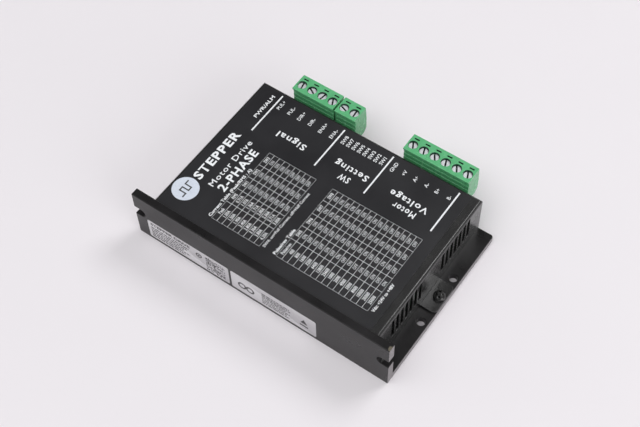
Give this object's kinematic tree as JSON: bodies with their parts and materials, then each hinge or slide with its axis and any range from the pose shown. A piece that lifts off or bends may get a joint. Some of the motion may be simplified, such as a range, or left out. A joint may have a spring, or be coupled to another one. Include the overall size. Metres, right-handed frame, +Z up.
{
  "type": "stepper driver module",
  "caption": "Flat stepper driver module: folded black cover on an L-shaped heatsink base, with pull-off green screw terminal plugs and slide setting switches along the rear.",
  "frame": {"origin": "centre of the base plate's flat underside", "axes": "+X along the module's length, +Y from the upright end wall towards the terminals, +Z up from the base"},
  "size_m": [0.118, 0.0864, 0.0255],
  "materials": {
    "base_coat": "fine satin black coating over extruded aluminium",
    "cover_coat": "fine-textured black powder coat on folded sheet",
    "film": "matt black film with white print",
    "sticker": "silver-grey sticker with dark print",
    "black_screw": "glossy black zinc",
    "plated_screw": "bright nickel plate",
    "cage": "nickel-plated steel",
    "contact": "tinned copper alloy",
    "terminal_green": "moulded green plastic",
    "board": "solder mask over glass laminate",
    "standoff": "nickel-plated hex spacer",
    "moulded_black": "moulded epoxy",
    "pad": "silicone-coated insulating sheet",
    "bar": "plain mill-finish bar",
    "capacitor": "sleeved aluminium can",
    "ferrite": "dull grey ferrite",
    "switch": "moulded red body",
    "slider": "white moulded knob",
    "led": "tinted clear epoxy"
  },
  "bodies": {
    "module": {"heatsink_base": "base_coat", "cover": "cover_coat", "top_label": "film", "rating_label": "sticker", "approval_label": "sticker", "cover_screws": "black_screw", "chassis_screws": "plated_screw", "circuit_board": "board", "board_standoffs": "standoff", "power_transistors": "moulded_black", "insulating_pad": "pad", "clamp_bar": "bar", "bulk_capacitors": "capacitor", "power_inductor": "ferrite", "control_chip": "moulded_black", "driver_chips": "moulded_black", "optocouplers": "moulded_black", "signal_headers": "terminal_green", "power_header": "terminal_green", "header_pins": "contact", "switch_body": "switch", "status_leds": "led"},
    "pulse_plug": {"pulse_plug_housing": "terminal_green", "pulse_plug_contacts": "contact"},
    "enable_plug": {"enable_plug_housing": "terminal_green", "enable_plug_contacts": "contact"},
    "power_plug": {"power_plug_housing": "terminal_green", "power_plug_contacts": "contact"},
    "pulse_clamp_screw_1": {"pulse_clamp_screw_1": "plated_screw"},
    "pulse_clamp_cage_1": {"pulse_clamp_cage_1": "cage"},
    "pulse_clamp_screw_2": {"pulse_clamp_screw_2": "plated_screw"},
    "pulse_clamp_cage_2": {"pulse_clamp_cage_2": "cage"},
    "pulse_clamp_screw_3": {"pulse_clamp_screw_3": "plated_screw"},
    "pulse_clamp_cage_3": {"pulse_clamp_cage_3": "cage"},
    "pulse_clamp_screw_4": {"pulse_clamp_screw_4": "plated_screw"},
    "pulse_clamp_cage_4": {"pulse_clamp_cage_4": "cage"},
    "enable_clamp_screw_1": {"enable_clamp_screw_1": "plated_screw"},
    "enable_clamp_cage_1": {"enable_clamp_cage_1": "cage"},
    "enable_clamp_screw_2": {"enable_clamp_screw_2": "plated_screw"},
    "enable_clamp_cage_2": {"enable_clamp_cage_2": "cage"},
    "power_clamp_screw_1": {"power_clamp_screw_1": "plated_screw"},
    "power_clamp_cage_1": {"power_clamp_cage_1": "cage"},
    "power_clamp_screw_2": {"power_clamp_screw_2": "plated_screw"},
    "power_clamp_cage_2": {"power_clamp_cage_2": "cage"},
    "power_clamp_screw_3": {"power_clamp_screw_3": "plated_screw"},
    "power_clamp_cage_3": {"power_clamp_cage_3": "cage"},
    "power_clamp_screw_4": {"power_clamp_screw_4": "plated_screw"},
    "power_clamp_cage_4": {"power_clamp_cage_4": "cage"},
    "power_clamp_screw_5": {"power_clamp_screw_5": "plated_screw"},
    "power_clamp_cage_5": {"power_clamp_cage_5": "cage"},
    "power_clamp_screw_6": {"power_clamp_screw_6": "plated_screw"},
    "power_clamp_cage_6": {"power_clamp_cage_6": "cage"},
    "switch_slider_1": {"switch_slider_1": "slider"},
    "switch_slider_2": {"switch_slider_2": "slider"},
    "switch_slider_3": {"switch_slider_3": "slider"},
    "switch_slider_4": {"switch_slider_4": "slider"},
    "switch_slider_5": {"switch_slider_5": "slider"},
    "switch_slider_6": {"switch_slider_6": "slider"},
    "switch_slider_7": {"switch_slider_7": "slider"},
    "switch_slider_8": {"switch_slider_8": "slider"}
  },
  "joints": [
    {"name": "pulse_plug_pull", "type": "slide", "parent": "module", "child": "pulse_plug", "axis": [0, 1, 0], "range_m": [0, 0.012]},
    {"name": "enable_plug_pull", "type": "slide", "parent": "module", "child": "enable_plug", "axis": [0, 1, 0], "range_m": [0, 0.012]},
    {"name": "power_plug_pull", "type": "slide", "parent": "module", "child": "power_plug", "axis": [0, 1, 0], "range_m": [0, 0.012]},
    {"name": "pulse_clamp_screw_1_turn", "type": "hinge", "parent": "pulse_plug", "child": "pulse_clamp_screw_1", "pos_m": [-0.0367, 0.04315, 0.02], "axis": [0, 0, 1], "range_deg": [0, 1605]},
    {"name": "pulse_clamp_cage_1_lift", "type": "slide", "parent": "pulse_plug", "child": "pulse_clamp_cage_1", "axis": [0, 0, -1], "range_m": [0, 0.002]},
    {"name": "pulse_clamp_screw_2_turn", "type": "hinge", "parent": "pulse_plug", "child": "pulse_clamp_screw_2", "pos_m": [-0.0317, 0.04315, 0.02], "axis": [0, 0, 1], "range_deg": [0, 1605]},
    {"name": "pulse_clamp_cage_2_lift", "type": "slide", "parent": "pulse_plug", "child": "pulse_clamp_cage_2", "axis": [0, 0, -1], "range_m": [0, 0.002]},
    {"name": "pulse_clamp_screw_3_turn", "type": "hinge", "parent": "pulse_plug", "child": "pulse_clamp_screw_3", "pos_m": [-0.0267, 0.04315, 0.02], "axis": [0, 0, 1], "range_deg": [0, 1605]},
    {"name": "pulse_clamp_cage_3_lift", "type": "slide", "parent": "pulse_plug", "child": "pulse_clamp_cage_3", "axis": [0, 0, -1], "range_m": [0, 0.002]},
    {"name": "pulse_clamp_screw_4_turn", "type": "hinge", "parent": "pulse_plug", "child": "pulse_clamp_screw_4", "pos_m": [-0.0217, 0.04315, 0.02], "axis": [0, 0, 1], "range_deg": [0, 1605]},
    {"name": "pulse_clamp_cage_4_lift", "type": "slide", "parent": "pulse_plug", "child": "pulse_clamp_cage_4", "axis": [0, 0, -1], "range_m": [0, 0.002]},
    {"name": "enable_clamp_screw_1_turn", "type": "hinge", "parent": "enable_plug", "child": "enable_clamp_screw_1", "pos_m": [-0.01605, 0.04315, 0.02], "axis": [0, 0, 1], "range_deg": [0, 1605]},
    {"name": "enable_clamp_cage_1_lift", "type": "slide", "parent": "enable_plug", "child": "enable_clamp_cage_1", "axis": [0, 0, -1], "range_m": [0, 0.002]},
    {"name": "enable_clamp_screw_2_turn", "type": "hinge", "parent": "enable_plug", "child": "enable_clamp_screw_2", "pos_m": [-0.01105, 0.04315, 0.02], "axis": [0, 0, 1], "range_deg": [0, 1605]},
    {"name": "enable_clamp_cage_2_lift", "type": "slide", "parent": "enable_plug", "child": "enable_clamp_cage_2", "axis": [0, 0, -1], "range_m": [0, 0.002]},
    {"name": "power_clamp_screw_1_turn", "type": "hinge", "parent": "power_plug", "child": "power_clamp_screw_1", "pos_m": [0.0167, 0.04315, 0.02], "axis": [0, 0, 1], "range_deg": [0, 1605]},
    {"name": "power_clamp_cage_1_lift", "type": "slide", "parent": "power_plug", "child": "power_clamp_cage_1", "axis": [0, 0, -1], "range_m": [0, 0.002]},
    {"name": "power_clamp_screw_2_turn", "type": "hinge", "parent": "power_plug", "child": "power_clamp_screw_2", "pos_m": [0.0217, 0.04315, 0.02], "axis": [0, 0, 1], "range_deg": [0, 1605]},
    {"name": "power_clamp_cage_2_lift", "type": "slide", "parent": "power_plug", "child": "power_clamp_cage_2", "axis": [0, 0, -1], "range_m": [0, 0.002]},
    {"name": "power_clamp_screw_3_turn", "type": "hinge", "parent": "power_plug", "child": "power_clamp_screw_3", "pos_m": [0.0267, 0.04315, 0.02], "axis": [0, 0, 1], "range_deg": [0, 1605]},
    {"name": "power_clamp_cage_3_lift", "type": "slide", "parent": "power_plug", "child": "power_clamp_cage_3", "axis": [0, 0, -1], "range_m": [0, 0.002]},
    {"name": "power_clamp_screw_4_turn", "type": "hinge", "parent": "power_plug", "child": "power_clamp_screw_4", "pos_m": [0.0317, 0.04315, 0.02], "axis": [0, 0, 1], "range_deg": [0, 1605]},
    {"name": "power_clamp_cage_4_lift", "type": "slide", "parent": "power_plug", "child": "power_clamp_cage_4", "axis": [0, 0, -1], "range_m": [0, 0.002]},
    {"name": "power_clamp_screw_5_turn", "type": "hinge", "parent": "power_plug", "child": "power_clamp_screw_5", "pos_m": [0.0367, 0.04315, 0.02], "axis": [0, 0, 1], "range_deg": [0, 1605]},
    {"name": "power_clamp_cage_5_lift", "type": "slide", "parent": "power_plug", "child": "power_clamp_cage_5", "axis": [0, 0, -1], "range_m": [0, 0.002]},
    {"name": "power_clamp_screw_6_turn", "type": "hinge", "parent": "power_plug", "child": "power_clamp_screw_6", "pos_m": [0.0417, 0.04315, 0.02], "axis": [0, 0, 1], "range_deg": [0, 1605]},
    {"name": "power_clamp_cage_6_lift", "type": "slide", "parent": "power_plug", "child": "power_clamp_cage_6", "axis": [0, 0, -1], "range_m": [0, 0.002]},
    {"name": "switch_slider_1_slide", "type": "slide", "parent": "module", "child": "switch_slider_1", "axis": [0, 0, 1], "range_m": [0, 0.0019]},
    {"name": "switch_slider_2_slide", "type": "slide", "parent": "module", "child": "switch_slider_2", "axis": [0, 0, 1], "range_m": [0, 0.0019]},
    {"name": "switch_slider_3_slide", "type": "slide", "parent": "module", "child": "switch_slider_3", "axis": [0, 0, 1], "range_m": [0, 0.0019]},
    {"name": "switch_slider_4_slide", "type": "slide", "parent": "module", "child": "switch_slider_4", "axis": [0, 0, 1], "range_m": [0, 0.0019]},
    {"name": "switch_slider_5_slide", "type": "slide", "parent": "module", "child": "switch_slider_5", "axis": [0, 0, 1], "range_m": [0, 0.0019]},
    {"name": "switch_slider_6_slide", "type": "slide", "parent": "module", "child": "switch_slider_6", "axis": [0, 0, 1], "range_m": [0, 0.0019]},
    {"name": "switch_slider_7_slide", "type": "slide", "parent": "module", "child": "switch_slider_7", "axis": [0, 0, 1], "range_m": [0, 0.0019]},
    {"name": "switch_slider_8_slide", "type": "slide", "parent": "module", "child": "switch_slider_8", "axis": [0, 0, 1], "range_m": [0, 0.0019]}
  ],
  "couplings": [
    {"joint": "pulse_clamp_screw_1_turn", "follows": "pulse_clamp_cage_1_lift", "rad_per_m": 13963},
    {"joint": "pulse_clamp_screw_2_turn", "follows": "pulse_clamp_cage_2_lift", "rad_per_m": 13963},
    {"joint": "pulse_clamp_screw_3_turn", "follows": "pulse_clamp_cage_3_lift", "rad_per_m": 13963},
    {"joint": "pulse_clamp_screw_4_turn", "follows": "pulse_clamp_cage_4_lift", "rad_per_m": 13963},
    {"joint": "enable_clamp_screw_1_turn", "follows": "enable_clamp_cage_1_lift", "rad_per_m": 13963},
    {"joint": "enable_clamp_screw_2_turn", "follows": "enable_clamp_cage_2_lift", "rad_per_m": 13963},
    {"joint": "power_clamp_screw_1_turn", "follows": "power_clamp_cage_1_lift", "rad_per_m": 13963},
    {"joint": "power_clamp_screw_2_turn", "follows": "power_clamp_cage_2_lift", "rad_per_m": 13963},
    {"joint": "power_clamp_screw_3_turn", "follows": "power_clamp_cage_3_lift", "rad_per_m": 13963},
    {"joint": "power_clamp_screw_4_turn", "follows": "power_clamp_cage_4_lift", "rad_per_m": 13963},
    {"joint": "power_clamp_screw_5_turn", "follows": "power_clamp_cage_5_lift", "rad_per_m": 13963},
    {"joint": "power_clamp_screw_6_turn", "follows": "power_clamp_cage_6_lift", "rad_per_m": 13963}
  ]
}
